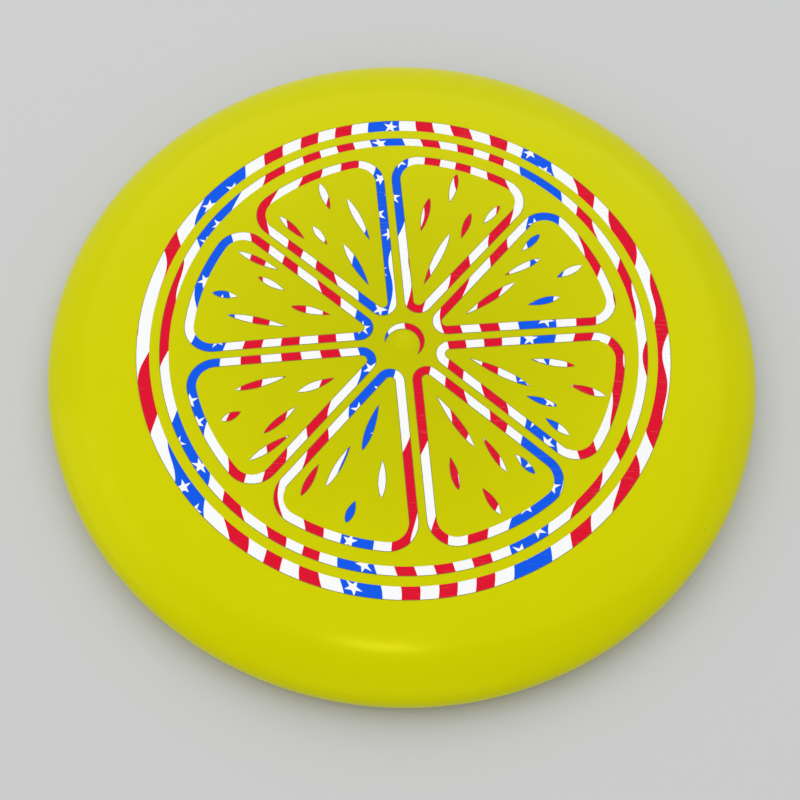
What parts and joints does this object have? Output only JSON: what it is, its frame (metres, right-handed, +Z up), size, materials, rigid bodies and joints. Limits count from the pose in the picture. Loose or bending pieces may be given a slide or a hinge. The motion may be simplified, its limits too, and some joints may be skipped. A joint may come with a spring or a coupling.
{
  "type": "flying disc",
  "caption": "Moulded plastic flying disc with a domed flight plate, a thick round rim open underneath, and a hot-stamped foil citrus wheel on top.",
  "frame": {"origin": "on the disc's axis, in the plane of the flat foot of the rim that it rests on", "axes": "+Z up along the disc's axis, out of the stamped side; the first gap of the citrus wheel is 8.3 degrees round from +X towards +Y"},
  "size_m": [0.212, 0.212, 0.0205],
  "materials": {
    "disc_plastic": "chartreuse yellow moulded thermoplastic, semi-gloss, slightly translucent",
    "stamp_foil": "hot-stamped foil printed in white, red and blue stripes and stars, glossy"
  },
  "bodies": {
    "root": {"disc": "disc_plastic", "foil_outer_ring": "stamp_foil", "foil_inner_ring": "stamp_foil", "foil_crescent": "stamp_foil", "foil_segment_1": "stamp_foil", "foil_segment_2": "stamp_foil", "foil_segment_3": "stamp_foil", "foil_segment_4": "stamp_foil", "foil_segment_5": "stamp_foil", "foil_segment_6": "stamp_foil", "foil_segment_7": "stamp_foil", "foil_segment_8": "stamp_foil", "foil_pulp_1_1": "stamp_foil", "foil_pulp_1_2": "stamp_foil", "foil_pulp_1_3": "stamp_foil", "foil_pulp_1_4": "stamp_foil", "foil_pulp_1_5": "stamp_foil", "foil_pulp_2_1": "stamp_foil", "foil_pulp_2_2": "stamp_foil", "foil_pulp_2_3": "stamp_foil", "foil_pulp_2_4": "stamp_foil", "foil_pulp_2_5": "stamp_foil", "foil_pulp_3_1": "stamp_foil", "foil_pulp_3_2": "stamp_foil", "foil_pulp_3_3": "stamp_foil", "foil_pulp_3_4": "stamp_foil", "foil_pulp_3_5": "stamp_foil", "foil_pulp_4_1": "stamp_foil", "foil_pulp_4_2": "stamp_foil", "foil_pulp_4_3": "stamp_foil", "foil_pulp_4_4": "stamp_foil", "foil_pulp_4_5": "stamp_foil", "foil_pulp_5_1": "stamp_foil", "foil_pulp_5_2": "stamp_foil", "foil_pulp_5_3": "stamp_foil", "foil_pulp_5_4": "stamp_foil", "foil_pulp_5_5": "stamp_foil", "foil_pulp_6_1": "stamp_foil", "foil_pulp_6_2": "stamp_foil", "foil_pulp_6_3": "stamp_foil", "foil_pulp_6_4": "stamp_foil", "foil_pulp_6_5": "stamp_foil", "foil_pulp_7_1": "stamp_foil", "foil_pulp_7_2": "stamp_foil", "foil_pulp_7_3": "stamp_foil", "foil_pulp_7_4": "stamp_foil", "foil_pulp_7_5": "stamp_foil", "foil_pulp_8_1": "stamp_foil", "foil_pulp_8_2": "stamp_foil", "foil_pulp_8_3": "stamp_foil", "foil_pulp_8_4": "stamp_foil", "foil_pulp_8_5": "stamp_foil"}
  },
  "joints": []
}
